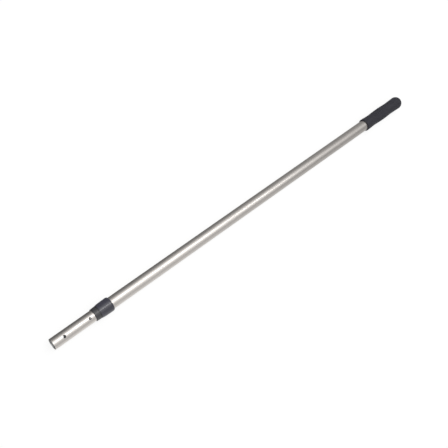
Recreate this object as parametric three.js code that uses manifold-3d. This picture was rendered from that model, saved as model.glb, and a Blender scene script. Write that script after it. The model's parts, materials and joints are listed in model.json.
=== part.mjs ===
// Two-section telescopic roller extension pole with a twist-lock collar.
//
// Millimetres, +Z up. The pole lies along X with its tool end at -X and its hand grip at +X.
// It rests on the collar and on the grip, so z = 0 is the surface it lies on.
// Inside the functions, x is measured from the tool end and the pole's axis is at y = z = 0.
// The group at the end of the file moves everything to the part's own frame.
import * as THREE from "three";
import { mergeVertices } from "three/addons/utils/BufferGeometryUtils.js";
import Module from "manifold-3d";

const wasm = await Module();
wasm.setup();

// ---- driving dimensions ----

const OVERALL_LENGTH = 1160; // closed, tool end to the tip of the grip
const REST_RADIUS = 17; // the collar and the grip at their widest, which the pole lies on

const WALL = 0.6; // of both tubes
const OUTER_TUBE_R = 14;
const OUTER_BORE_R = OUTER_TUBE_R - WALL;
const INNER_TUBE_R = 13.1;
const INNER_BORE_R = INNER_TUBE_R - WALL;
const OUTER_TUBE = { front: 129.5, rear: 1142 };
const INNER_TUBE = { front: 0, rear: 1060 };
const FIT = 0.1; // radial room between two pieces that are pushed together
const GAP = 0.3; // between two pieces whose faces meet

const PIN_HOLE = { x: 27.5, r: 3.7 }; // cross hole that a fitted tool's spring button clicks into
const BUTTON_HOLE = { x: 93, r: 3.2 };
const STOP_DIMPLE_X = 953; // swellings that meet the ferrule when the pole is fully drawn out
const PLUG_PIN_X = 1050;
const PLUG_PIN_HOLE_R = 1.8;

const NOSE = { front: 105, grooveFront: 117.2, grooveRear: 118.3, neckRear: 124.3, rear: 125.8 };
const COLLAR = { front: 118.4, lipRear: 123.6, shoulder: 130, chamfer: 147.6, rear: 151 };
const FERRULE = { front: 127.6, rear: 146.5 };
const THREAD = { start: 132, end: 144, lead: 4, depth: 0.7, ferruleR: 15.25, collarR: 15.6 };
const RIVET = { x: 130.9, r: 0.7, holeR: 1 };

const GRIP = { mouth: 1006.5, domeCentre: 1143, skinFront: 1009.5 };
const CORE = { front: 1009.8, rear: 1141.9, r: 15 };

const TUBE_SIDES = 32;
const BODY_SIDES = 24; // of the collar and the grip, with a flat side down
const SMALL_SIDES = 16;

// ---- materials ----

const finish = (color, roughness, metalness) =>
  new THREE.MeshStandardMaterial({ color, roughness, metalness });
const anodised = finish(0xc9c7c4, 0.35, 1);
const steel = finish(0xa8a9ab, 0.3, 1);
const charcoalPlastic = finish(0x2f2f34, 0.45, 0);
const softGrip = finish(0x2b2b30, 0.85, 0);
const blackPlastic = finish(0x1c1c1e, 0.6, 0);
const naturalPlastic = finish(0xe4e0d4, 0.5, 0);
const felt = finish(0x3a3a3c, 1, 0);

// ---- solids ----

// Turns a profile of [x, radius] points about the X axis. Flat sides lie at the stated radius and
// one of them faces down. The profile closes on itself, or starts and ends on the axis, and it
// runs anticlockwise: forward along the inside, then back along the outside.
function revolve(profile, sides = TUBE_SIDES) {
  const corner = 1 / Math.cos(Math.PI / sides);
  const points = profile.map(([x, radius]) => new THREE.Vector2(radius * corner, x)).reverse();
  const closed = profile[0][1] > 0;
  if (closed) points.push(points[0].clone());
  const geometry = new THREE.LatheGeometry(points, sides, Math.PI / sides);
  return geometry.rotateZ(-Math.PI / 2);
}

// A tube between two stations.
const sleeve = (front, rear, innerR, outerR, sides) =>
  revolve([[front, innerR], [rear, innerR], [rear, outerR], [front, outerR]], sides);

// A manifold solid of a closed geometry.
function solidOf(geometry) {
  const bare = geometry.clone();
  bare.deleteAttribute("normal");
  bare.deleteAttribute("uv");
  const merged = mergeVertices(bare, 1e-4);
  const corners = merged.index.array;
  const triVerts = [];
  for (let i = 0; i < corners.length; i += 3) {
    const [a, b, c] = corners.slice(i, i + 3);
    if (a !== b && b !== c && c !== a) triVerts.push(a, b, c);
  }
  const vertProperties = merged.attributes.position.array;
  const mesh = { numProp: 3, vertProperties, triVerts: new Uint32Array(triVerts) };
  return new wasm.Manifold(new wasm.Mesh(mesh));
}

function geometryOf(solid) {
  const mesh = solid.getMesh();
  return new THREE.BufferGeometry()
    .setAttribute("position", new THREE.BufferAttribute(mesh.vertProperties, 3))
    .setIndex(new THREE.BufferAttribute(mesh.triVerts, 1));
}

// The first geometry with the others cut away.
const cut = (geometry, ...tools) =>
  geometryOf(tools.reduce((left, tool) => left.subtract(solidOf(tool)), solidOf(geometry)));

const join = (geometry, ...others) =>
  geometryOf(others.reduce((whole, other) => whole.add(solidOf(other)), solidOf(geometry)));

// A round bar across the pole, between two heights on the Z axis.
const barAlongZ = (x, radius, low, high, topRadius = radius) =>
  new THREE.CylinderGeometry(topRadius, radius, high - low, SMALL_SIDES)
    .rotateX(Math.PI / 2)
    .translate(x, 0, (low + high) / 2);

// The same between two distances from the axis, turned about the axis from +Z towards -Y.
const radialBar = (x, radius, low, high, turn, topRadius) =>
  barAlongZ(x, radius, low, high, topRadius).rotateX(turn);

const block = (front, rear, width, height, y = 0, z = 0) =>
  new THREE.BoxGeometry(rear - front, width, height).translate((front + rear) / 2, y, z);

// ---- the round thread of the ferrule and the collar ----

const THREAD_STEP = THREAD.lead / 8;

// Profile points along the threaded stretch, at the thread's mean radius.
function threadStations(meanR) {
  const steps = Math.round((THREAD.end - THREAD.start) / THREAD_STEP);
  return Array.from({ length: steps + 1 }, (_, i) => [THREAD.start + i * THREAD_STEP, meanR]);
}

// Raises and lowers the threaded stretch's points into a right-hand round thread.
function cutThread(geometry, meanR, sides) {
  const position = geometry.attributes.position;
  const cornerR = meanR / Math.cos(Math.PI / sides);
  for (let i = 0; i < position.count; i++) {
    const x = position.getX(i);
    const y = position.getY(i);
    const z = position.getZ(i);
    const radius = Math.hypot(y, z);
    const threaded = x > THREAD.start - 1e-3 && x < THREAD.end + 1e-3 && Math.abs(radius - cornerR) < 1e-3;
    if (!threaded) continue;
    const phase = (2 * Math.PI * x) / THREAD.lead - Math.atan2(z, y);
    const scale = (radius + (THREAD.depth / 2) * Math.cos(phase)) / radius;
    position.setXYZ(i, x, y * scale, z * scale);
  }
  return geometry;
}

// ---- handle section ----

const sideways = [Math.PI / 2, -Math.PI / 2];

function outerTube() {
  const tube = sleeve(OUTER_TUBE.front, OUTER_TUBE.rear, OUTER_BORE_R, OUTER_TUBE_R);
  return cut(tube, ...sideways.map((turn) => radialBar(RIVET.x, RIVET.holeR, 12, 16, turn)));
}

// Cup-shaped plug in the closed end of the outer tube, flush with the tube's cut edge.
function tubeEndPlug() {
  const front = 1119;
  const cupEnd = 1139;
  const rear = OUTER_TUBE.rear - FIT;
  return revolve([
    [rear, 0],
    [rear, OUTER_BORE_R - FIT],
    [front, OUTER_BORE_R - FIT],
    [front, 11.8],
    [cupEnd, 11.8],
    [cupEnd, 0],
  ]);
}

// Hard sleeve that is pushed over the tube and carries the soft grip.
const gripCore = () => sleeve(CORE.front, CORE.rear, OUTER_TUBE_R + 0.15, CORE.r);

// Radius of the grip along its hand-shaped stretch: lip, waist, belly, waist and knob.
const gripContour = new THREE.SplineCurve([
  new THREE.Vector2(GRIP.mouth + 3, 16.95),
  new THREE.Vector2(1017, 16.6),
  new THREE.Vector2(1037, 15.8),
  new THREE.Vector2(1057, 16.5),
  new THREE.Vector2(1077, REST_RADIUS),
  new THREE.Vector2(1094, 16.5),
  new THREE.Vector2(1107, 15.9),
  new THREE.Vector2(1122, 16.3),
  new THREE.Vector2(GRIP.domeCentre, REST_RADIUS),
]);

function handGrip() {
  const skinBore = CORE.r + FIT;
  const bore = OUTER_TUBE_R + 0.15;
  const innerEnd = OUTER_TUBE.rear + GAP;
  const domeSteps = 7;
  const dome = Array.from({ length: domeSteps - 1 }, (_, i) => {
    const angle = ((i + 1) / domeSteps) * (Math.PI / 2);
    return [GRIP.domeCentre + REST_RADIUS * Math.cos(angle), REST_RADIUS * Math.sin(angle)];
  });
  return revolve([
    [OVERALL_LENGTH, 0],
    ...dome,
    ...gripContour.getPoints(32).reverse().map((p) => [p.x, Math.min(p.y, REST_RADIUS)]),
    [GRIP.mouth + 0.9, 16.8],
    [GRIP.mouth, 16.3],
    [GRIP.mouth, bore],
    [GRIP.skinFront, bore],
    [GRIP.skinFront, skinBore],
    [innerEnd, skinBore],
    [innerEnd, 0],
  ], BODY_SIDES);
}

// Threaded ferrule over the front end of the outer tube. Its front lip guides the inner tube.
function lockFerrule() {
  const plainR = 14.85;
  const bore = OUTER_TUBE_R + FIT;
  const lip = { r: INNER_TUBE_R + 0.12, rear: OUTER_TUBE.front - FIT };
  const ferrule = revolve([
    [FERRULE.front, lip.r],
    [lip.rear, lip.r],
    [lip.rear, bore],
    [FERRULE.rear, bore],
    [FERRULE.rear, plainR],
    [THREAD.end, plainR],
    ...threadStations(THREAD.ferruleR).reverse(),
    [THREAD.start, plainR],
    [FERRULE.front, plainR],
  ], BODY_SIDES);
  cutThread(ferrule, THREAD.ferruleR, BODY_SIDES);
  return cut(ferrule, ...sideways.map((turn) => radialBar(RIVET.x, RIVET.holeR, 12, 16, turn)));
}

const ferruleRivet = (turn) => radialBar(RIVET.x, RIVET.r, OUTER_BORE_R + 0.05, 14.7, turn);

// Split cone that the nose ring squeezes onto the inner tube.
function clampCollet() {
  const bore = INNER_TUBE_R + 0.15;
  const cone = { front: 109.6, rear: 118.5, frontR: 13.55, rearR: 13.9 };
  const baseRear = FERRULE.front - FIT;
  const slitRear = 123;
  const slitWidth = 1.4;
  const whole = revolve([
    [cone.front, bore],
    [baseRear, bore],
    [baseRear, cone.rearR],
    [cone.rear, cone.rearR],
    [cone.front, cone.frontR],
  ]);
  const slits = [0, 60, 120].map((degrees) =>
    block(cone.front - 1, slitRear, slitWidth, 40).rotateX(THREE.MathUtils.degToRad(degrees)));
  return cut(whole, ...slits);
}

// ---- clamp ring: slides along the axis as the collar is screwed on or off ----

function noseRing() {
  const mouthR = INNER_TUBE_R + 0.4;
  const seat = { front: NOSE.front + 1.2, rear: NOSE.front + 3, r: 13.95 };
  const cone = { front: 109, rear: 118.6, frontR: 13.75, rearR: 14.1 };
  return revolve([
    [NOSE.front, mouthR],
    [seat.front, mouthR],
    [seat.front, seat.r],
    [seat.rear, seat.r],
    [seat.rear, mouthR],
    [cone.front, mouthR],
    [cone.front, cone.frontR],
    [cone.rear, cone.rearR],
    [NOSE.rear, cone.rearR],
    [NOSE.rear, 15.5],
    [NOSE.neckRear, 15.5],
    [NOSE.neckRear, 14.85],
    [NOSE.grooveRear, 14.85],
    [NOSE.grooveRear, 14.55],
    [NOSE.grooveFront, 14.55],
    [NOSE.grooveFront, 15.2],
    [NOSE.front + 0.7, 14.65],
    [NOSE.front, 14.2],
  ]);
}

// Felt ring in the nose that keeps paint and dust off the collet.
const wiperRing = () => sleeve(NOSE.front + 1.3, NOSE.front + 2.9, INNER_TUBE_R + 0.2, 13.85);

const slipWasher = () => sleeve(COLLAR.lipRear + 0.15, COLLAR.lipRear + 0.6, 14.95, 15.6);

// ---- collar ----

const CLIP_SEAT = NOSE.rear + 0.4;

function lockCollar() {
  const lipR = 15;
  const flangeBoreR = 15.7;
  const boreR = 16;
  const boreRear = 148.9;
  const rearBore = OUTER_TUBE_R + 0.35;
  const collar = revolve([
    [COLLAR.front, lipR],
    [COLLAR.lipRear, lipR],
    [COLLAR.lipRear, flangeBoreR],
    [CLIP_SEAT, flangeBoreR],
    [CLIP_SEAT, boreR],
    [THREAD.start, boreR],
    ...threadStations(THREAD.collarR),
    [THREAD.end, boreR],
    [boreRear, boreR],
    [boreRear, rearBore],
    [COLLAR.rear, rearBore],
    [COLLAR.rear, 15.7],
    [COLLAR.rear - 0.8, 16.4],
    [COLLAR.chamfer, REST_RADIUS],
    [COLLAR.shoulder, 16.7],
    [127, 16.55],
    [COLLAR.lipRear, 16.2],
    [120.5, 15.8],
    [COLLAR.front, 15.45],
  ], BODY_SIDES);
  return cutThread(collar, THREAD.collarR, BODY_SIDES);
}

// Open clip that springs into the collar's bore behind the nose ring's flange.
function retainingClip() {
  const ring = sleeve(CLIP_SEAT + 0.1, CLIP_SEAT + 0.8, 15.1, 15.9);
  return cut(ring, block(CLIP_SEAT - 1, CLIP_SEAT + 2, 5, 4, 0, 15.5));
}

// ---- inner section ----

function innerTube() {
  const through = 20;
  const dimples = sideways.map((turn) => radialBar(STOP_DIMPLE_X, 2.5, 12.7, 13.25, turn, 1.3));
  return cut(
    join(sleeve(INNER_TUBE.front, INNER_TUBE.rear, INNER_BORE_R, INNER_TUBE_R), ...dimples),
    barAlongZ(PIN_HOLE.x, PIN_HOLE.r, -through, through),
    barAlongZ(BUTTON_HOLE.x, BUTTON_HOLE.r, 0, through),
    barAlongZ(PLUG_PIN_X, PLUG_PIN_HOLE_R, -through, through),
  );
}

const BUSH = { front: 1062.3, rear: 1089.9, bore: 11.75 };

// Plug in the hidden end of the inner tube, with the spigot that the guide bush runs on.
function innerEndPlug() {
  const flangeR = 13;
  const cup = { front: 1044, r: 9.5 };
  const plug = revolve([
    [cup.front, 0],
    [cup.front, cup.r],
    [BUSH.rear + 2.5, cup.r],
    [BUSH.rear + 2.5, flangeR],
    [BUSH.rear + GAP, flangeR],
    [BUSH.rear + GAP, BUSH.bore - 0.15],
    [BUSH.front - GAP, BUSH.bore - 0.15],
    [BUSH.front - GAP, flangeR],
    [INNER_TUBE.rear + 0.2, flangeR],
    [INNER_TUBE.rear + 0.2, INNER_BORE_R - FIT],
    [1040, INNER_BORE_R - FIT],
    [1040, 0],
  ]);
  return cut(plug, barAlongZ(PLUG_PIN_X, PLUG_PIN_HOLE_R, -20, 20));
}

// Slit spring pin through the tube and its plug.
function plugPin() {
  const half = INNER_TUBE_R - 0.25;
  const pin = revolve([[-half, 0.8], [half, 0.8], [half, 1.45], [-half, 1.45]], SMALL_SIDES);
  return cut(pin, block(-20, 20, 0.5, 2, 0, 1.2)).rotateY(Math.PI / 2).translate(PLUG_PIN_X, 0, 0);
}

const guideBush = () =>
  cut(sleeve(BUSH.front, BUSH.rear, BUSH.bore, OUTER_BORE_R - 0.08), block(1060, 1092, 2, 6, 0, 12.5));

// ---- spring button ----

const STRIP = { width: 10, thickness: 0.8, tip: 83, flatEnd: 100, bendX: 136, bendR: 3 };
const LEG_TOP = 10; // height of the upper leg's middle under the button
const LEG_BOTTOM = -10.8;

// Bent strip: the outline is its middle line moved half its thickness to each side.
function springClip() {
  const bendSteps = 8;
  const middle = [[STRIP.tip, LEG_TOP], [STRIP.flatEnd, LEG_TOP]];
  for (let i = 0; i <= bendSteps; i++) {
    const angle = Math.PI / 2 - (i / bendSteps) * Math.PI;
    middle.push([STRIP.bendX + STRIP.bendR * Math.cos(angle), STRIP.bendR * Math.sin(angle)]);
  }
  middle.push([STRIP.flatEnd, LEG_BOTTOM], [STRIP.tip, LEG_BOTTOM]);
  const line = middle.map(([x, z]) => new THREE.Vector2(x, z));
  const shifted = (side) => line.map((point, i) => {
    const along = line[Math.min(i + 1, line.length - 1)].clone().sub(line[Math.max(i - 1, 0)]).normalize();
    return new THREE.Vector2(-along.y, along.x).multiplyScalar((side * STRIP.thickness) / 2).add(point);
  });
  const outline = new THREE.Shape([...shifted(1), ...shifted(-1).reverse()]);
  return new THREE.ExtrudeGeometry(outline, { depth: STRIP.width, bevelEnabled: false })
    .rotateX(Math.PI / 2)
    .translate(0, STRIP.width / 2, 0);
}

// Domed button with the flange that keeps it in the tube.
function snapButton() {
  const flange = { bottom: 10.55, top: 11.4, r: 4.2 };
  const shank = { r: 2.95, top: 14.2 };
  const tip = 15.4;
  const profile = [
    [tip, 0],
    [tip - 0.1, 1.2],
    [shank.top + 0.7, 2.4],
    [shank.top, shank.r],
    [flange.top, shank.r],
    [flange.top, flange.r],
    [flange.bottom, flange.r],
    [flange.bottom, 0],
  ];
  return revolve(profile, SMALL_SIDES).rotateY(-Math.PI / 2).translate(BUTTON_HOLE.x, 0, 0);
}

// ---- assembly ----

const pieces = [
  ["outer_tube", outerTube(), anodised],
  ["tube_end_plug", tubeEndPlug(), blackPlastic],
  ["grip_core", gripCore(), blackPlastic],
  ["hand_grip", handGrip(), softGrip],
  ["lock_ferrule", lockFerrule(), blackPlastic],
  ["ferrule_rivet_left", ferruleRivet(sideways[1]), steel],
  ["ferrule_rivet_right", ferruleRivet(sideways[0]), steel],
  ["clamp_collet", clampCollet(), naturalPlastic],
  ["nose_ring", noseRing(), charcoalPlastic],
  ["wiper_ring", wiperRing(), felt],
  ["slip_washer", slipWasher(), naturalPlastic],
  ["lock_collar", lockCollar(), charcoalPlastic],
  ["retaining_clip", retainingClip(), steel],
  ["guide_bush", guideBush(), naturalPlastic],
  ["inner_tube", innerTube(), anodised],
  ["inner_end_plug", innerEndPlug(), blackPlastic],
  ["plug_pin", plugPin(), steel],
  ["spring_clip", springClip(), steel],
  ["snap_button", snapButton(), steel],
];

const pole = new THREE.Group();
pole.position.set(-OVERALL_LENGTH / 2, 0, REST_RADIUS);
for (const [name, geometry, material] of pieces) {
  const mesh = new THREE.Mesh(geometry, material);
  mesh.name = name;
  pole.add(mesh);
}

export default pole;
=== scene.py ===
"""Looks of a telescopic roller extension pole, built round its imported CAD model.

Outlines are in millimetres. A station is a distance from the open tool end along the pole, and a
radius is measured from the pole's axis. TO_FRAME takes both to the frame that the CAD nodes are in.
"""

import json
import math

import bmesh
import bpy
from mathutils import Matrix, Vector


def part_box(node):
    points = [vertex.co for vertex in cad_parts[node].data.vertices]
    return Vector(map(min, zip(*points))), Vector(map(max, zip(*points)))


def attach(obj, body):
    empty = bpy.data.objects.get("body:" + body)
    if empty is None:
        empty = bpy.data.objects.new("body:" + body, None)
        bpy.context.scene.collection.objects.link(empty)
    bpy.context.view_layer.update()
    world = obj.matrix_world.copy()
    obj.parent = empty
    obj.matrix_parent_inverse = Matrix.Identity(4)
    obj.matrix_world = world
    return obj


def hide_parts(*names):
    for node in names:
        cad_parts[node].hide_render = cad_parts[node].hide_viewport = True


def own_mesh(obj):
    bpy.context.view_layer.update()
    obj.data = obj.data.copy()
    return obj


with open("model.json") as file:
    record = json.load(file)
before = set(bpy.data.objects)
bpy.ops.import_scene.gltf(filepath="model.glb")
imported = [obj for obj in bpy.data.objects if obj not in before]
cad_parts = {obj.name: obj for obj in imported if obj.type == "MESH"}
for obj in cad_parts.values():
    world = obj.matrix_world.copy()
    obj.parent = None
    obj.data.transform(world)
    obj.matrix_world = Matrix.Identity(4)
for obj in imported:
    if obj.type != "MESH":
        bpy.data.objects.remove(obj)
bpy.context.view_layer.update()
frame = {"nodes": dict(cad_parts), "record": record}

MM = 0.001
TOOL_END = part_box("inner_tube")[0].x
AXIS_HEIGHT = (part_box("outer_tube")[0].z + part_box("outer_tube")[1].z) / 2
TO_FRAME = Matrix.Translation((TOOL_END, 0, AXIS_HEIGHT)) @ Matrix.Scale(MM, 4)
BODY_OF = {node: body for body, nodes in frame["record"]["behaviour"]["bodies"].items() for node in nodes}
SLOT_OF = {part["node"]: part["material_slot"] for part in frame["record"]["subparts"]}

TUBE_WALL = 0.6
ROUND = 128  # sides of a turned piece
SMALL_ROUND = 48  # sides of a hole or a button
SAME_POINT = 1e-4  # points closer than this are one
LONGEST_FILLET = 0.45  # share of a side that one fillet may take
PIN_HOLE = {"station": 27.5, "radius": 3.7}
BUTTON_HOLE = {"station": 93, "radius": 3.2}
PLUG_PIN_HOLE = {"station": 1050, "radius": 1.8}
RIVET_HOLE = {"station": 130.9, "radius": 1}
STOP_DIMPLE_STATION = 953
THREAD = {"start": 132, "end": 144, "lead": 4, "depth": 0.7, "radius": 15.6}


# ---- turning and cutting ----


def span(node):
    """First station, last station and radius of a CAD node that is round the pole's axis."""
    low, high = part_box(node)
    return (low.x - TOOL_END) / MM, (high.x - TOOL_END) / MM, (high.z - low.z) / 2 / MM


def rounded(outline, steps=4):
    """An outline of (station, radius[, fillet]) with a smooth curve at each corner that has a fillet."""
    points = []
    for i, (station, radius, *fillet) in enumerate(outline):
        corner = Vector((station, radius))
        if not fillet:
            points.append(corner)
            continue
        back = Vector(outline[i - 1][:2]) - corner
        ahead = Vector(outline[(i + 1) % len(outline)][:2]) - corner
        reach = fillet[0] / math.tan(back.angle(ahead) / 2)
        reach = min(reach, LONGEST_FILLET * back.length, LONGEST_FILLET * ahead.length)
        start = corner + back.normalized() * reach
        end = corner + ahead.normalized() * reach
        for k in range(steps + 1):
            t = k / steps
            points.append((1 - t) ** 2 * start + 2 * t * (1 - t) * corner + t * t * end)
    return points


def through(points, steps):
    """Points on a smooth curve through the given ones, with a number of steps between each two."""
    ends = [points[0], *points, points[-1]]
    curve = []
    for a, b, c, d in zip(ends, ends[1:], ends[2:], ends[3:]):
        a, b, c, d = Vector(a), Vector(b), Vector(c), Vector(d)
        for k in range(steps):
            t = k / steps
            curve.append((2 * b + (c - a) * t + (2 * a - 5 * b + 4 * c - d) * t * t
                          + (3 * b - a - 3 * c + d) * t ** 3) / 2)
    return [*curve, Vector(points[-1])]


def turned(outline, sides=ROUND, relief=None):
    """The solid of an outline turned about the pole's axis.

    relief(station, radius, angle) says how far out its skin is moved.
    """
    solid = bmesh.new()
    rings = []
    for station, radius in outline:
        if radius < SAME_POINT:
            rings.append([solid.verts.new((station, 0, 0))])
            continue
        ring = []
        for i in range(sides):
            angle = math.tau * i / sides
            r = radius + (relief(station, radius, angle) if relief else 0)
            ring.append(solid.verts.new((station, r * math.cos(angle), r * math.sin(angle))))
        rings.append(ring)
    for a, b in zip(rings, rings[1:] + rings[:1]):
        for i in range(sides):
            j = (i + 1) % sides
            corners = [a[i % len(a)], a[j % len(a)], b[j % len(b)], b[i % len(b)]]
            corners = list(dict.fromkeys(corners))  # a point on the axis stands for a whole ring
            if len(corners) > 2:
                solid.faces.new(corners)
    bmesh.ops.recalc_face_normals(solid, faces=solid.faces)
    return solid


def standing(solid, station, turn=0):
    """A solid turned about X, stood up across the pole: towards +Z, or turned from there towards -Y."""
    solid.transform(Matrix.Translation((station, 0, 0)) @ Matrix.Rotation(turn, 4, "X")
                    @ Matrix.Rotation(-math.pi / 2, 4, "Y"))
    return solid


def drill(radius, skin, station, turn=0, both_walls=False):
    """A cutter for a hole through a tube's wall, with its edge broken where it meets the skin."""
    edge = 0.05
    top = skin + 3  # clear of the tube
    outline = [(top, 0), (top, radius + edge), (skin, radius + edge), (skin - edge, radius)]
    if both_walls:
        outline += [(-height, r) for height, r in reversed(outline)]
    else:
        outline += [(0, radius), (0, 0)]
    return standing(turned(outline, SMALL_ROUND), station, turn)


def as_object(name, solid):
    mesh = bpy.data.meshes.new(name)
    solid.to_mesh(mesh)
    solid.free()
    made = bpy.data.objects.new(name, mesh)
    bpy.context.scene.collection.objects.link(made)
    return made


def carved(solid, cutters):
    """The solid with each cutter's solid taken away."""
    stock = as_object("stock", solid)
    tools = [as_object("cutter", cutter) for cutter in cutters]
    for tool in tools:
        step = stock.modifiers.new("cut", "BOOLEAN")
        step.operation = "DIFFERENCE"
        step.solver = "MANIFOLD"
        step.object = tool
    result = bmesh.new()
    result.from_mesh(stock.evaluated_get(bpy.context.evaluated_depsgraph_get()).to_mesh())
    bmesh.ops.remove_doubles(result, verts=result.verts, dist=SAME_POINT)
    for used in [stock, *tools]:
        bpy.data.objects.remove(used)
    return result


def finished(node, solid, material, sharp=38):
    """The piece that stands for a CAD node, on the node's body, with edges over an angle left sharp."""
    solid.transform(TO_FRAME)
    piece = as_object(node + "_finished", solid)
    piece.data.shade_smooth()
    piece.data.set_sharp_from_angle(angle=math.radians(sharp))
    piece.data.materials.append(material)
    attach(piece, BODY_OF[node])
    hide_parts(node)
    return piece


# ---- materials ----


def add_node(tree, kind, inputs=None, **settings):
    """A new shader node. An input is a value, or another node's output to link."""
    node = tree.nodes.new("ShaderNode" + kind)
    for key, value in settings.items():
        setattr(node, key, value)
    for key, value in (inputs or {}).items():
        if isinstance(value, bpy.types.NodeSocket):
            tree.links.new(value, node.inputs[key])
        else:
            node.inputs[key].default_value = value
    return node


class Finish:
    """A Principled material, with short calls that add nodes. Textures are in the frame's metres."""

    def __init__(self, name, **settings):
        self.material = bpy.data.materials.new(name)
        self.material.use_nodes = True
        self.tree = self.material.node_tree
        self.shader = self.tree.nodes["Principled BSDF"]
        for socket, value in settings.items():
            self.shader.inputs[socket.replace("_", " ")].default_value = value

    def add(self, kind, inputs=None, **settings):
        return add_node(self.tree, kind, inputs, **settings)

    def drive(self, socket, value):
        self.tree.links.new(value, self.shader.inputs[socket])

    def noise(self, per_metre, detail=3, roughness=0.55):
        """Noise with so many features to the metre along X, Y and Z, or the same for all three."""
        scale = per_metre if isinstance(per_metre, tuple) else (per_metre,) * 3
        place = self.add("TexCoord").outputs["Object"]
        vector = self.add("Mapping", {"Vector": place, "Scale": scale}).outputs[0]
        inputs = {"Vector": vector, "Scale": 1, "Detail": detail, "Roughness": roughness}
        return self.add("TexNoise", inputs).outputs["Fac"]

    def spread(self, value, low, high, to_low=0.0, to_high=1.0):
        inputs = {"Value": value, "From Min": low, "From Max": high, "To Min": to_low, "To Max": to_high}
        return self.add("MapRange", inputs).outputs["Result"]

    def maths(self, operation, a, b):
        return self.add("Math", {0: a, 1: b}, operation=operation).outputs[0]

    def total(self, first, *others):
        for other in others:
            first = self.maths("ADD", first, other)
        return first

    def mix(self, factor, a, b):
        colours = {0: factor, 6: a, 7: b}
        return self.add("Mix", colours, data_type="RGBA").outputs[2]

    def bump(self, height, depth_mm, below=None):
        inputs = {"Height": height, "Distance": depth_mm * MM, "Strength": 1.0}
        if below:
            inputs["Normal"] = below
        return self.add("Bump", inputs).outputs["Normal"]


def grey(value, blue=1.0, red=1.0):
    return (value * red, value, value * blue, 1)


def drawn_aluminium(name, roughness, rub):
    """Satin anodised tube: lengthwise draw lines, faint clouding, nicks, and rubbed streaks."""
    f = Finish(name, Metallic=1.0, Anisotropic=0.5)
    lines = f.noise((5, 2400, 2400), detail=4, roughness=0.65)
    hairs = f.noise((22, 7500, 7500), detail=2)
    clouds = f.noise((9, 55, 55), detail=4)
    rubbed = f.spread(f.noise((35, 1100, 1100), detail=2), 0.6, 0.74, 0, rub)
    nicks = f.spread(f.noise((420, 900, 900), detail=2), 0.7, 0.76)
    line_tones = grey(0.70, 0.96, 1.05), grey(0.79, 0.965, 1.045)
    cloud_tone = grey(0.67, 0.965, 1.055)
    tone = f.mix(f.spread(lines, 0.3, 0.7), *line_tones)
    tone = f.mix(f.spread(clouds, 0.35, 0.7, 0, 0.35), tone, cloud_tone)
    f.drive("Base Color", f.mix(f.maths("MULTIPLY", nicks, 0.4), tone, grey(0.5)))
    f.drive("Roughness", f.total(
        f.spread(lines, 0.3, 0.7, roughness - 0.05, roughness + 0.05),
        f.spread(clouds, 0.3, 0.7, -0.03, 0.05),
        f.maths("MULTIPLY", rubbed, 0.18),
    ))
    line_depth, hair_depth = 0.005, 0.002
    f.drive("Normal", f.bump(hairs, hair_depth, f.bump(lines, line_depth, f.bump(rubbed, line_depth))))
    f.drive("Tangent", f.add("Tangent", direction_type="RADIAL", axis="X").outputs[0])
    return f.material


def moulded(name, value, blue, roughness):
    """Hard moulded plastic: spark-eroded grain, faint flow marks and small rubbed spots."""
    grain_depth, flow_depth = 0.004, 0.05
    f = Finish(name, Specular_IOR_Level=1.0)
    grain = f.noise(2600, detail=3)
    flow = f.noise((30, 70, 70), detail=3)
    rubs = f.spread(f.noise((130, 520, 520), detail=3), 0.62, 0.75, 0, 0.5)
    tone = f.mix(f.spread(flow, 0.35, 0.65), grey(value * 0.85, blue), grey(value * 1.12, blue))
    tone = f.mix(f.spread(grain, 0.4, 0.7, 0, 0.3), tone, grey(value * 1.6, blue))
    f.drive("Base Color", f.mix(rubs, tone, grey(value * 1.9, blue)))
    f.drive("Roughness", f.total(
        f.spread(grain, 0.3, 0.7, roughness - 0.05, roughness + 0.06),
        f.maths("MULTIPLY", rubs, -0.1),
    ))
    f.drive("Normal", f.bump(grain, grain_depth, f.bump(flow, flow_depth)))
    return f.material


def soft_rubber(name):
    """Grip rubber: the raised pads are handled smooth, and dust sits between them."""
    pore_depth, smear_depth = 0.05, 0.15
    f = Finish(name, Sheen_Weight=0.04, Sheen_Roughness=0.5)
    pads = f.add("Attribute", attribute_name="raised").outputs["Fac"]
    pores = f.noise(3200, detail=3, roughness=0.6)
    smears = f.noise((45, 120, 120), detail=4)
    dust = f.spread(f.noise(240, detail=4), 0.45, 0.75, 0, 0.5)
    tone = f.mix(f.spread(smears, 0.35, 0.7), grey(0.022, 1.42), grey(0.034, 1.42))
    tone = f.mix(f.maths("MULTIPLY", f.spread(pads, 0, 1, 1, 0), dust), tone, grey(0.06, 1.25))
    f.drive("Base Color", f.mix(f.spread(pads, 0.4, 1, 0, 0.35), tone, grey(0.052, 1.35)))
    f.drive("Roughness", f.total(
        f.spread(pores, 0.3, 0.7, 0.6, 0.78),
        f.spread(pads, 0, 1, 0.06, -0.1),
        f.spread(smears, 0.3, 0.7, -0.05, 0.05),
    ))
    f.drive("Normal", f.bump(pores, pore_depth, f.bump(smears, smear_depth)))
    return f.material


def acetal(name):
    """Undyed acetal: waxy and slightly see-through, with mould flow and grey rub marks."""
    f = Finish(name, Subsurface_Weight=0.15, Subsurface_Scale=0.002)
    flow = f.noise((40, 90, 90), detail=3)
    rubs = f.spread(f.noise((60, 900, 900), detail=3), 0.56, 0.72, 0, 0.45)
    tone = f.mix(f.spread(flow, 0.3, 0.7), (0.80, 0.77, 0.69, 1), (0.72, 0.69, 0.60, 1))
    f.drive("Base Color", f.mix(rubs, tone, grey(0.38)))
    f.drive("Roughness", f.total(f.spread(flow, 0.3, 0.7, 0.36, 0.5), f.maths("MULTIPLY", rubs, 0.2)))
    f.drive("Normal", f.bump(f.noise(1800), 0.015))
    return f.material


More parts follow.
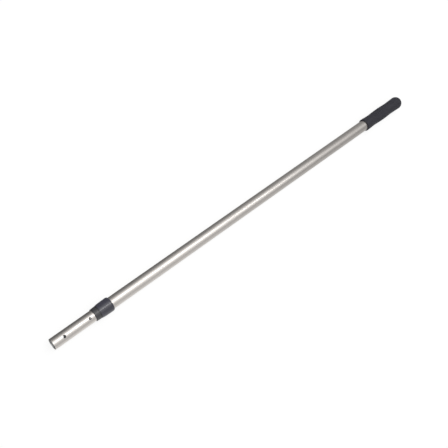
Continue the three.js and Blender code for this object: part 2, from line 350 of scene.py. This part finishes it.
def steel(name, per_metre, roughness, tint):
    """Bare steel: rolled or tumbled marks with a few dull spots."""
    f = Finish(name, Metallic=1.0)
    marks = f.noise(per_metre, detail=4, roughness=0.65)
    spots = f.spread(f.noise(700, detail=3), 0.58, 0.7)
    tone = f.mix(f.spread(marks, 0.3, 0.7), grey(tint * 0.85, 1.01), grey(tint * 1.12, 1.01))
    f.drive("Base Color", f.mix(f.maths("MULTIPLY", spots, 0.5), tone, (0.27, 0.25, 0.23, 1)))
    f.drive("Roughness", f.total(
        f.spread(marks, 0.3, 0.7, roughness - 0.06, roughness + 0.1),
        f.maths("MULTIPLY", spots, 0.2),
    ))
    f.drive("Normal", f.bump(marks, 0.02))
    return f.material


def pressed_felt(name):
    """Felt: short fibres in clumps."""
    f = Finish(name, Sheen_Weight=0.5, Sheen_Roughness=0.6)
    fibres = f.noise((2600, 2600, 5200), detail=5, roughness=0.7)
    clumps = f.noise(620, detail=3)
    tone = f.mix(f.spread(fibres, 0.3, 0.7), grey(0.03), grey(0.11))
    f.drive("Base Color", f.mix(f.spread(clumps, 0.4, 0.7, 0, 0.5), tone, grey(0.16)))
    f.drive("Roughness", f.spread(clumps, 0.3, 0.7, 0.85, 1.0))
    f.drive("Normal", f.bump(fibres, 0.12))
    return f.material


MATERIALS = {
    "outer_anodised": drawn_aluminium("outer_anodised", 0.37, 0.5),
    "inner_anodised": drawn_aluminium("inner_anodised", 0.31, 1.0),
    "collar_plastic": moulded("collar_plastic", 0.045, 1.5, 0.27),
    "soft_grip": soft_rubber("soft_grip"),
    "black_plastic": moulded("black_plastic", 0.024, 1.0, 0.4),
    "natural_plastic": acetal("natural_plastic"),
    "steel": steel("steel", (90, 3000, 3000), 0.3, 0.6),
    "button_steel": steel("button_steel", 900, 0.38, 0.24),
    "felt": pressed_felt("felt"),
}
TUBE_BORE = steel("tube_bore", (60, 1500, 1500), 0.5, 0.72)
NOSE_PLASTIC = moulded("nose_plastic", 0.04, 1.15, 0.4)  # the nose ring looks greyer than the collar


def material_of(node):
    """The material of a node's slot in the record."""
    return MATERIALS[SLOT_OF[node]]


# ---- the tubes ----


def line_bore(piece, radius):
    """Gives the faces inside a tube of that outer radius their duller finish."""
    piece.data.materials.append(TUBE_BORE)
    for face in piece.data.polygons:
        away = math.hypot(face.center.y, face.center.z - AXIS_HEIGHT) / MM
        at_cut_end = abs(face.normal.x) > 0.9
        face.material_index = int(away < radius - TUBE_WALL / 2 and not at_cut_end)


def sleeve(front, rear, inner, outer, edge):
    """Outline of a plain tube with broken edges."""
    return [(front, inner, edge), (rear, inner, edge), (rear, outer, edge), (front, outer, edge)]


def make_outer_tube():
    front, rear, radius = span("outer_tube")
    tube = turned(rounded(sleeve(front, rear, radius - TUBE_WALL, radius, 0.18)))
    holes = [drill(RIVET_HOLE["radius"], radius, RIVET_HOLE["station"], turn)
             for turn in (math.pi / 2, -math.pi / 2)]
    line_bore(finished("outer_tube", carved(tube, holes), material_of("outer_tube")), radius)


def make_inner_tube():
    front, rear, radius = span("inner_tube")
    bore = radius - TUBE_WALL
    swelling = {"half": 3.2, "height": 0.15, "steps": 6}
    near = [STOP_DIMPLE_STATION + swelling["half"] * k / swelling["steps"]
            for k in range(-swelling["steps"], swelling["steps"] + 1)]

    def stop_dimples(station, r, angle):
        """A small pressed swelling on each side."""
        around = min(angle, abs(math.pi - angle), math.tau - angle) * radius  # along the skin
        away = math.hypot(station - STOP_DIMPLE_STATION, around) / swelling["half"]
        return swelling["height"] * math.cos(min(away, 1) * math.pi / 2) ** 2

    inside = [(front, bore, 0.15), *((s, bore) for s in near), (rear, bore, 0.15)]
    outside = [(rear, radius, 0.25), *((s, radius) for s in reversed(near)), (front, radius, 0.25)]
    tube = turned(rounded(inside + outside), relief=stop_dimples)
    holes = [
        drill(PIN_HOLE["radius"], radius, PIN_HOLE["station"], both_walls=True),
        drill(BUTTON_HOLE["radius"], radius, BUTTON_HOLE["station"]),
        drill(PLUG_PIN_HOLE["radius"], radius, PLUG_PIN_HOLE["station"], both_walls=True),
    ]
    line_bore(finished("inner_tube", carved(tube, holes), material_of("inner_tube")), radius)


# ---- the twist lock ----


def make_nose_ring():
    """Front ring: a short cone, a sharp groove behind it, and the flange inside the collar."""
    front, rear, flange = span("nose_ring")
    mouth, neck, shoulder = 13.5, 14.85, 15.2
    felt_seat = {"front": front + 1.2, "rear": front + 3, "radius": 13.95}
    cone = {"front": front + 4, "rear": front + 13.6, "narrow": 13.75, "wide": 14.1}
    groove = {"front": front + 11.7, "rear": front + 13.3, "floor": 14.4}
    flange_front = rear - 1.5
    outline = rounded([
        (front, mouth, 0.25),
        (felt_seat["front"], mouth),
        (felt_seat["front"], felt_seat["radius"]),
        (felt_seat["rear"], felt_seat["radius"]),
        (felt_seat["rear"], mouth),
        (cone["front"], mouth),
        (cone["front"], cone["narrow"]),
        (cone["rear"], cone["wide"]),
        (rear, cone["wide"]),
        (rear, flange, 0.2),
        (flange_front, flange, 0.2),
        (flange_front, neck),
        (groove["rear"], neck),
        (groove["rear"], groove["floor"]),
        (groove["front"], groove["floor"]),
        (groove["front"], shoulder, 0.3),
        (front + 0.7, 14.65, 0.3),
        (front, 14.2, 0.15),
    ])
    finished("nose_ring", turned(outline), NOSE_PLASTIC)


def make_lock_collar():
    """Main collar: it widens towards the handle, ends in a chamfer and has the thread inside."""
    front, rear, radius = span("lock_collar")
    lip_bore, flange_bore, bore, rear_bore = 15, 15.7, 16, 14.35
    lip_rear = front + 5.2
    clip_seat = front + 7.8
    rear_wall = rear - 2.1
    length = THREAD["end"] - THREAD["start"]
    rings = 12 * length // THREAD["lead"]  # twelve to a turn of the thread

    def round_thread(station, r, angle):
        """A right-hand thread on the rings at its middle radius."""
        if r != THREAD["radius"]:
            return 0
        return THREAD["depth"] / 2 * math.cos(math.tau * station / THREAD["lead"] - angle)

    outline = [
        (front, lip_bore, 0.15),
        (lip_rear, lip_bore),
        (lip_rear, flange_bore),
        (clip_seat, flange_bore),
        (clip_seat, bore),
        (THREAD["start"], bore),
        *((THREAD["start"] + k * length / rings, THREAD["radius"]) for k in range(rings + 1)),
        (THREAD["end"], bore),
        (rear_wall, bore),
        (rear_wall, rear_bore),
        (rear, rear_bore, 0.3),
        (rear, radius - 1.3, 0.35),
        (rear - 0.8, radius - 0.6, 0.8),
        (rear - 3.4, radius, 0.6),
        (front + 11.6, radius - 0.3, 2),
        (lip_rear, radius - 0.8, 2),
        (front + 2.1, radius - 1.2, 1),
        (front, radius - 1.55, 0.2),
    ]
    finished("lock_collar", turned(rounded(outline), relief=round_thread), material_of("lock_collar"))


# ---- the hand grip ----

PADS = {"pitch": 4.5, "around": 24, "depth": 0.65, "fade": 7, "belly": (1036, 1100), "knob": (1119, 1151)}


def ramp(low, high, value):
    """A smooth rise from 0 at low to 1 at high."""
    t = min(max((value - low) / (high - low), 0), 1)
    return t * t * (3 - 2 * t)


def pad_zone(station):
    """How fully the raised pads are formed at a station: over the belly and the knob, not at the waists."""
    fade = PADS["fade"]
    return max(ramp(low, low + fade, station) * (1 - ramp(high - fade, high, station))
               for low, high in (PADS["belly"], PADS["knob"]))


def pad_height(station, angle):
    """From 0 between the pads to 1 on top of one. Rows are staggered by half a pad."""
    row = station / PADS["pitch"]
    column = angle / math.tau * PADS["around"] + 0.5 * (math.floor(row) % 2)
    away = math.hypot(row % 1 - 0.5, column % 1 - 0.5) * 2
    return 1 - ramp(0.5, 1.02, away)


def make_hand_grip():
    front, rear, radius = span("hand_grip")
    dome_centre = rear - radius
    lip_rear = front + 3
    bore, skin_bore = 14.15, 15.1
    inner_end = span("outer_tube")[1] + 0.3
    contour = through([
        (lip_rear, 16.95),
        (1017, 16.6),
        (1037, 15.8),
        (1057, 16.5),
        (1077, radius),
        (1094, 16.5),
        (1107, 15.9),
        (1122, 16.3),
        (dome_centre, radius),
    ], steps=40)
    dome_steps = 36
    dome = [dome_centre + radius * math.sin(math.pi / 2 * k / dome_steps) for k in range(1, dome_steps)]
    skin = [(p.x, min(p.y, radius)) for p in contour]
    skin += [(x, math.sqrt(radius ** 2 - (x - dome_centre) ** 2)) for x in dome]
    outline = rounded([
        (inner_end, 0),
        (inner_end, skin_bore),
        (lip_rear, skin_bore),
        (lip_rear, bore),
        (front, bore, 0.4),
        (front, 16.3, 0.5),
        (front + 0.9, 16.8, 0.6),
    ])
    outline += [Vector(p) for p in skin] + [Vector((rear, 0))]

    def sunk_between_pads(station, r, angle):
        inside = r < skin_bore + 0.5 and station < dome_centre
        if inside:
            return 0
        return -PADS["depth"] * pad_zone(station) * (1 - pad_height(station, angle))

    sides = PADS["around"] * 8
    grip = turned(outline, sides, sunk_between_pads)
    piece = finished("hand_grip", grip, material_of("hand_grip"), sharp=60)
    raised = piece.data.attributes.new("raised", "FLOAT", "POINT")
    for vertex, value in zip(piece.data.vertices, raised.data):
        station = (vertex.co.x - TOOL_END) / MM
        angle = math.atan2(vertex.co.z - AXIS_HEIGHT, vertex.co.y) % math.tau
        value.value = 0.5 + pad_zone(station) * (pad_height(station, angle) - 0.5)


# ---- the spring button ----


def make_snap_button():
    flange = {"bottom": 10.55, "top": 11.4, "radius": 4.2}
    shank, shoulder, tip = 2.95, 14.2, 15.4
    dome_steps = 10
    angles = [math.pi / 2 * k / dome_steps for k in range(1, dome_steps)]
    dome = [(shoulder + (tip - shoulder) * math.sin(a), shank * math.cos(a)) for a in angles]
    outline = rounded([
        (flange["bottom"], 0),
        (flange["bottom"], flange["radius"], 0.2),
        (flange["top"], flange["radius"], 0.2),
        (flange["top"], shank),
        (shoulder, shank),
    ]) + [Vector(p) for p in dome] + [Vector((tip, 0))]
    button = standing(turned(outline, SMALL_ROUND), BUTTON_HOLE["station"])
    finished("snap_button", button, material_of("snap_button"))


def make_spring_clip():
    """Bent spring strip: its middle line with a thin section that has broken edges."""
    half_width, half_thick, edge = 5, 0.4, 0.15
    tip, flat_end, bend = 83, 100, {"station": 136, "radius": 3}
    top, bottom = 10, -10.8
    bend_steps = 16
    arc = [math.pi / 2 - math.pi * k / bend_steps for k in range(bend_steps + 1)]
    line = [(tip, top), (flat_end, top)]
    line += [(bend["station"] + bend["radius"] * math.cos(a), bend["radius"] * math.sin(a)) for a in arc]
    line += [(flat_end, bottom), (tip, bottom)]
    line = [Vector(p) for p in line]
    section = [(half_width - edge, half_thick), (half_width, half_thick - edge),
               (half_width, edge - half_thick), (half_width - edge, -half_thick)]
    section += [(-y, -n) for y, n in section]
    strip = bmesh.new()
    rings = []
    for i, point in enumerate(line):
        along = (line[min(i + 1, len(line) - 1)] - line[max(i - 1, 0)]).normalized()
        ring = [(point.x - along.y * n, y, point.y + along.x * n) for y, n in section]
        rings.append([strip.verts.new(corner) for corner in ring])
    for a, b in zip(rings, rings[1:]):
        for i in range(len(section)):
            j = (i + 1) % len(section)
            strip.faces.new([a[i], a[j], b[j], b[i]])
    strip.faces.new(rings[0])
    strip.faces.new(rings[-1])
    bmesh.ops.recalc_face_normals(strip, faces=strip.faces)
    piece = finished("spring_clip", strip, material_of("spring_clip"))
    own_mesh(piece)


def finish_cad_nodes():
    """Gives the CAD nodes that no piece stands for their materials, on the objects and not on the meshes."""
    for name, node in frame["nodes"].items():
        if not node.hide_render:
            for slot in node.material_slots:
                slot.link = "OBJECT"
                slot.material = material_of(name)


make_outer_tube()
make_inner_tube()
make_nose_ring()
make_lock_collar()
make_hand_grip()
make_snap_button()
make_spring_clip()
finish_cad_nodes()


# ---- floor, light and camera ----


def make_floor():
    """A pale floor that glows a little, so that it stays even round the pole."""
    half = 25
    corners = [(-half, -half, 0), (half, -half, 0), (half, half, 0), (-half, half, 0)]
    floor = bpy.data.objects.new("floor", bpy.data.meshes.new("floor"))
    floor.data.from_pydata(corners, [], [(0, 1, 2, 3)])
    bpy.context.scene.collection.objects.link(floor)
    paint = Finish("pale_floor", Base_Color=grey(0.22), Roughness=0.9,
                   Emission_Color=grey(1), Emission_Strength=0.84)
    floor.data.materials.append(paint.material)
    floor.visible_glossy = False


# Brightness of the studio round the pole's axis, by the angle in degrees from straight up towards +Y.
# The far end of the tube reflects the part that is ahead of the pole, where it is dimmer and more even.
STUDIO = [(-180, 0.8), (-125, 0.88), (-97, 0.78), (-72, 0.56), (-40, 0.48), (-20, 0.8), (-4, 1.1),
          (26, 1.1), (44, 0.74), (64, 0.26), (108, 0.12), (150, 0.12), (180, 0.5)]
STUDIO_AHEAD = [(-180, 0.4), (-125, 0.45), (-97, 0.44), (-75, 0.38), (-50, 0.24), (-30, 0.22), (-16, 0.5),
                (-4, 0.76), (16, 0.7), (30, 0.44), (49, 0.3), (83, 0.28), (150, 0.28), (180, 0.35)]
AHEAD = {"from": 0.3, "to": 0.7}  # along X, of a direction's unit vector
BEHIND = {"from": -0.1, "to": -0.65, "share": 0.9, "level": 0.22}  # dark, beyond the tool end


def make_world():
    """A plain studio that the pole reflects, and a plain pale background behind it."""
    world = bpy.data.worlds.new("studio")
    bpy.context.scene.world = world
    world.use_nodes = True
    tree = world.node_tree

    def add(kind, inputs=None, **settings):
        return add_node(tree, kind, inputs, **settings)

    brightest = max(level for _, level in STUDIO)
    direction = add("SeparateXYZ", {0: add("TexCoord").outputs["Generated"]}).outputs
    angle = add("Math", {0: direction["Y"], 1: direction["Z"]}, operation="ARCTAN2").outputs[0]
    turn = add("MapRange", {"Value": angle, "From Min": -math.pi, "From Max": math.pi}).outputs[0]

    def around(levels):
        ramp = add("ValToRGB", {0: turn})
        stops = ramp.color_ramp.elements
        while len(stops) < len(levels):
            stops.new(0.5)
        for stop, (degrees, level) in zip(stops, levels):
            stop.position = (degrees + 180) / 360
            stop.color = grey(level / brightest, 0.985, 1.005)
        return ramp.outputs[0]

    def share(zone):
        """From 0 to 1, or to the zone's share, as a direction turns from one limit of it to the other."""
        limits = {"From Min": zone["from"], "From Max": zone["to"], "To Max": zone.get("share", 1)}
        return add("MapRange", {"Value": direction["X"], **limits}).outputs[0]

    def mix(factor, a, b):
        return add("Mix", {0: factor, 6: a, 7: b}, data_type="RGBA").outputs[2]

    lit = mix(share(AHEAD), around(STUDIO), around(STUDIO_AHEAD))
    darkened = mix(share(BEHIND), lit, grey(BEHIND["level"] / brightest))
    studio = add("Background", {"Color": darkened, "Strength": brightest})
    plain = add("Background", {"Color": grey(1), "Strength": 1.0})
    seen = add("LightPath").outputs["Is Camera Ray"]
    both = add("MixShader", {0: seen, 1: studio.outputs[0], 2: plain.outputs[0]})
    tree.links.new(both.outputs[0], tree.nodes["World Output"].inputs["Surface"])


def make_strip_light():
    """Long narrow softbox over the pole, which gives the collar its thin highlight."""
    angle, distance, middle = math.radians(11), 2.6, 0.25
    length, width, watts = 2.9, 0.36, 15.5
    lamp = bpy.data.lights.new("strip", "AREA")
    lamp.shape = "RECTANGLE"
    lamp.size, lamp.size_y = length, width
    lamp.energy = watts
    strip = bpy.data.objects.new("strip", lamp)
    strip.location = (middle, distance * math.sin(angle), AXIS_HEIGHT + distance * math.cos(angle))
    strip.rotation_euler = (-angle, 0, 0)
    strip.visible_camera = False
    bpy.context.scene.collection.objects.link(strip)


def make_camera():
    """The pole runs away from the camera and up to the right, and the camera looks down on it.

    along, side and up are the frame's X, Y and Z in the camera's own axes.
    """
    away, slope, roll = math.radians(26.57), math.radians(35.13), math.radians(5.6)
    distance, aim = 1.7075, Vector((-0.0916, -0.0007, AXIS_HEIGHT))
    along = Vector((math.cos(away) * math.cos(slope), math.cos(away) * math.sin(slope), -math.sin(away)))
    facing = (Vector((0, 0, 1)) + math.sin(away) * along) / math.cos(away)
    across = Vector((math.sin(slope), -math.cos(slope), 0))
    up = math.cos(roll) * facing + math.sin(roll) * across
    side = up.cross(along)
    turn = Matrix((
        (along.x, side.x, up.x),
        (along.y, side.y, up.y),
        (along.z, side.z, up.z),
    )).transposed()
    camera = bpy.data.objects.new("camera", bpy.data.cameras.new("camera"))
    camera.data.sensor_width = 36
    camera.data.lens = 57.5
    camera.data.clip_start = 0.01
    camera.matrix_world = Matrix.Translation(aim + turn @ Vector((0, 0, distance))) @ turn.to_4x4()
    bpy.context.scene.collection.objects.link(camera)
    bpy.context.scene.camera = camera


make_floor()
make_world()
make_strip_light()
make_camera()
bpy.context.scene.view_settings.view_transform = "Standard"
